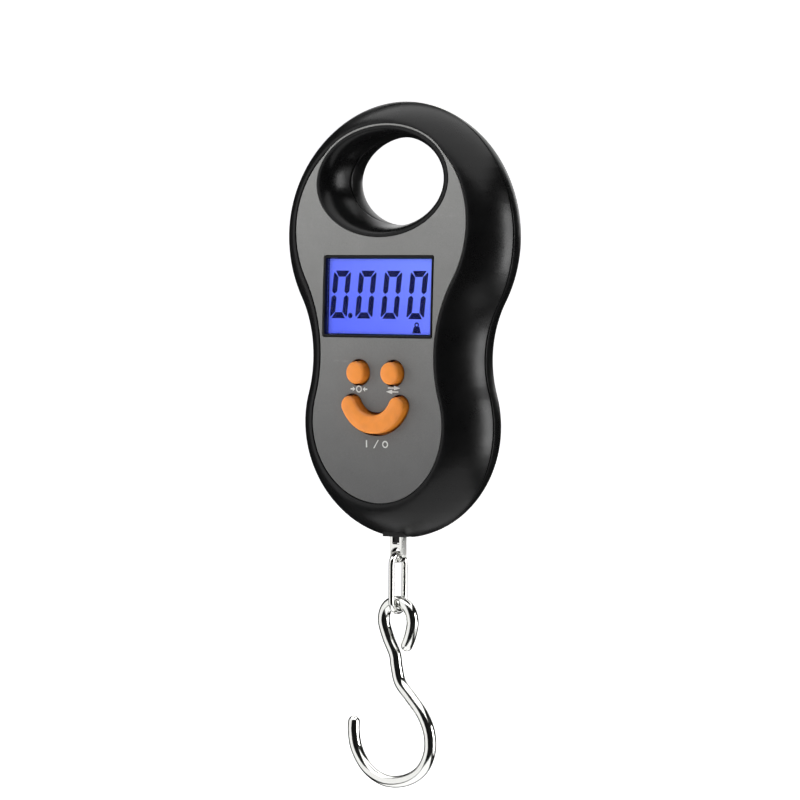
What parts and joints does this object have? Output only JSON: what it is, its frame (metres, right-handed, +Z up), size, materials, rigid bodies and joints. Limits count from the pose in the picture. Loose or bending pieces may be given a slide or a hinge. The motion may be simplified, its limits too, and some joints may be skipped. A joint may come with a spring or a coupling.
{
  "type": "digital fish scale",
  "caption": "Hand-held hanging scale: peanut-shaped housing with an oval finger hole, backlit display, push buttons and a load cell that a link and wire hook hang from.",
  "frame": {"origin": "centre of the finger hole, half way through the housing's thickness", "axes": "+Z up along the housing, -Y out of the display, +X to the right when facing the display"},
  "size_m": [0.0714, 0.0243, 0.182],
  "materials": {
    "housing_black": "satin-gloss moulded black",
    "plate_grey": "satin grey metallic paint",
    "button_orange": "satin orange",
    "chrome": "polished chrome plate",
    "screw_steel": "zinc-plated steel",
    "aluminium": "milled",
    "clear_cover": "clear acrylic",
    "display_blue": "backlit blue display cell",
    "white_plastic": "white",
    "board_green": "solder mask",
    "rubber_black": "black rubber",
    "epoxy_black": "glossy epoxy",
    "potting_white": "white silicone",
    "contact_nickel": "nickel-plated spring steel",
    "battery_wrap": "plain green printed wrap",
    "wire_red": "insulated wire",
    "wire_black": "insulated wire",
    "wire_white": "insulated wire",
    "wire_green": "insulated wire"
  },
  "bodies": {
    "housing": {"front_housing": "housing_black", "rear_housing": "housing_black", "face_plate": "plate_grey", "hanger": "chrome", "housing_screw_upper_right": "screw_steel", "housing_screw_upper_left": "screw_steel", "housing_screw_lower_right": "screw_steel", "housing_screw_lower_left": "screw_steel", "board_screw_left": "screw_steel", "board_screw_right": "screw_steel", "load_cell_screw_1": "screw_steel", "load_cell_screw_2": "screw_steel", "hanger_pin": "screw_steel", "tare_key_dome": "screw_steel", "unit_key_dome": "screw_steel", "power_key_dome": "screw_steel", "load_cell": "aluminium", "display_cover": "clear_cover", "display_cell": "display_blue", "light_guide": "white_plastic", "display_bezel": "white_plastic", "backlight_lamp_left": "white_plastic", "backlight_lamp_right": "white_plastic", "circuit_board": "board_green", "slot_grommet": "rubber_black", "connector_strip": "rubber_black", "fork_spacer": "rubber_black", "controller_blob": "epoxy_black", "amplifier_chip": "epoxy_black", "gauge_potting": "potting_white", "battery_strap": "contact_nickel", "positive_contact": "contact_nickel", "negative_contact": "contact_nickel", "strap_spring": "contact_nickel", "contact_spring": "contact_nickel", "battery_1": "battery_wrap", "battery_2": "battery_wrap", "positive_wire": "wire_red", "negative_wire": "wire_black", "gauge_wire_white": "wire_white", "gauge_wire_green": "wire_green"},
    "tare_button": {"tare_button": "button_orange"},
    "unit_button": {"unit_button": "button_orange"},
    "power_button": {"power_button": "button_orange"},
    "battery_door": {"battery_door": "housing_black"},
    "link": {"link": "chrome"},
    "hook": {"hook": "chrome"}
  },
  "joints": [
    {"name": "tare_press", "type": "slide", "parent": "housing", "child": "tare_button", "axis": [0, 1, 0], "range_m": [0, 0.0008], "stiffness_N_per_m": 600},
    {"name": "unit_press", "type": "slide", "parent": "housing", "child": "unit_button", "axis": [0, 1, 0], "range_m": [0, 0.0008], "stiffness_N_per_m": 600},
    {"name": "power_press", "type": "slide", "parent": "housing", "child": "power_button", "axis": [0, 1, 0], "range_m": [0, 0.0008], "stiffness_N_per_m": 600},
    {"name": "door_slide", "type": "slide", "parent": "housing", "child": "battery_door", "axis": [0, 0, -1], "range_m": [0, 0.06]},
    {"name": "link_swing", "type": "hinge", "parent": "housing", "child": "link", "pos_m": [0, -0.00145, -0.0984], "axis": [0, 1, 0], "range_deg": [-80, 80]},
    {"name": "hook_swing", "type": "hinge", "parent": "link", "child": "hook", "pos_m": [0, -0.00145, -0.1113], "axis": [-1, 0, 0], "range_deg": [-135, 135]}
  ]
}
